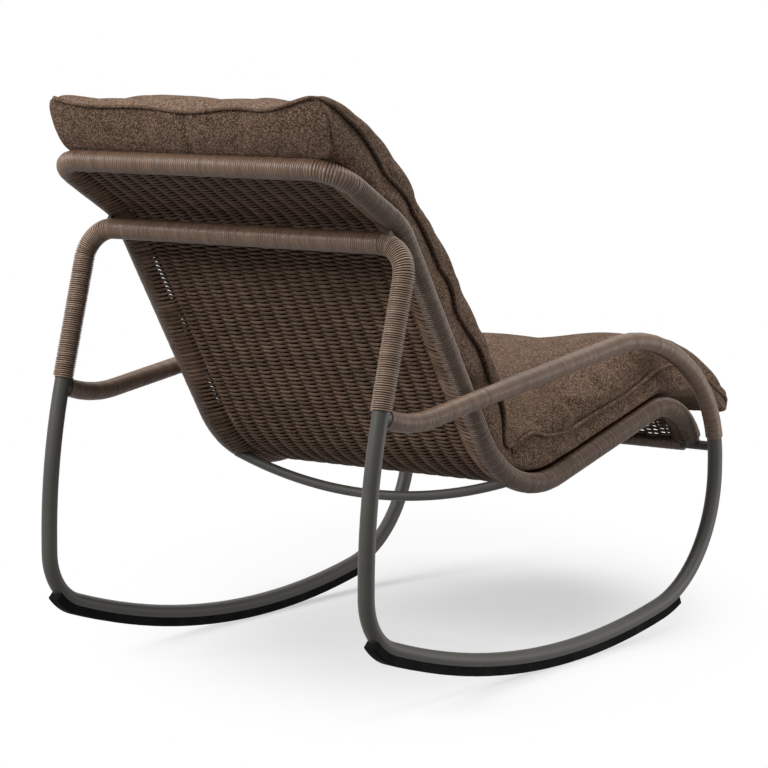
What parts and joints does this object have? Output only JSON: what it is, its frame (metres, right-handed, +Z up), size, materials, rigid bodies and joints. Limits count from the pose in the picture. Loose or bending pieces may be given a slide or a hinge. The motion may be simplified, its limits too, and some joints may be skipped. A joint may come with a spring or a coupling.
{
  "type": "outdoor rocking chair",
  "caption": "Outdoor lounge rocking chair with curved tube rockers, wicker-wrapped arms, a woven seat shell and a loose lounge cushion.",
  "frame": {"origin": "on the floor, under the middle of the chair's overall width and depth", "axes": "+Z up, the chair faces -Y, +X is towards the sitter's left"},
  "size_m": [0.6716, 1.1776, 0.9161],
  "materials": {
    "wicker": "woven resin strand",
    "powder_coat": "satin powder coat",
    "rubber": "moulded, matt",
    "screw": "zinc plated",
    "cushion_fabric": "coarse woven cover"
  },
  "bodies": {
    "frame": {"back_weave": "wicker", "crease_weave": "wicker", "front_bar": "powder_coat", "front_bar_wrap": "wicker", "headrest_weave": "wicker", "knee_weave": "wicker", "left_arm_tube": "powder_coat", "left_arm_wrap": "wicker", "left_back_tab": "powder_coat", "left_leg_wrap": "wicker", "left_rail_wrap": "wicker", "left_rocker_strip": "rubber", "left_rocker_tube": "powder_coat", "left_seat_rail": "powder_coat", "left_strip_screws": "screw", "rear_crossbar_wrap": "wicker", "rear_hoop_tube": "powder_coat", "right_arm_tube": "powder_coat", "right_arm_wrap": "wicker", "right_back_tab": "powder_coat", "right_leg_wrap": "wicker", "right_rail_wrap": "wicker", "right_rocker_strip": "rubber", "right_rocker_tube": "powder_coat", "right_seat_rail": "powder_coat", "right_strip_screws": "screw", "seat_brace": "powder_coat", "seat_weave": "wicker", "top_rail_tube": "powder_coat", "top_rail_wrap": "wicker"},
    "cushion": {"headrest_pad": "cushion_fabric", "back_pad": "cushion_fabric", "seat_pad": "cushion_fabric"}
  },
  "joints": [
    {"name": "cushion_lift", "type": "slide", "parent": "frame", "child": "cushion", "axis": [0, -0.3729, 0.9279], "range_m": [0, 0.35]}
  ]
}
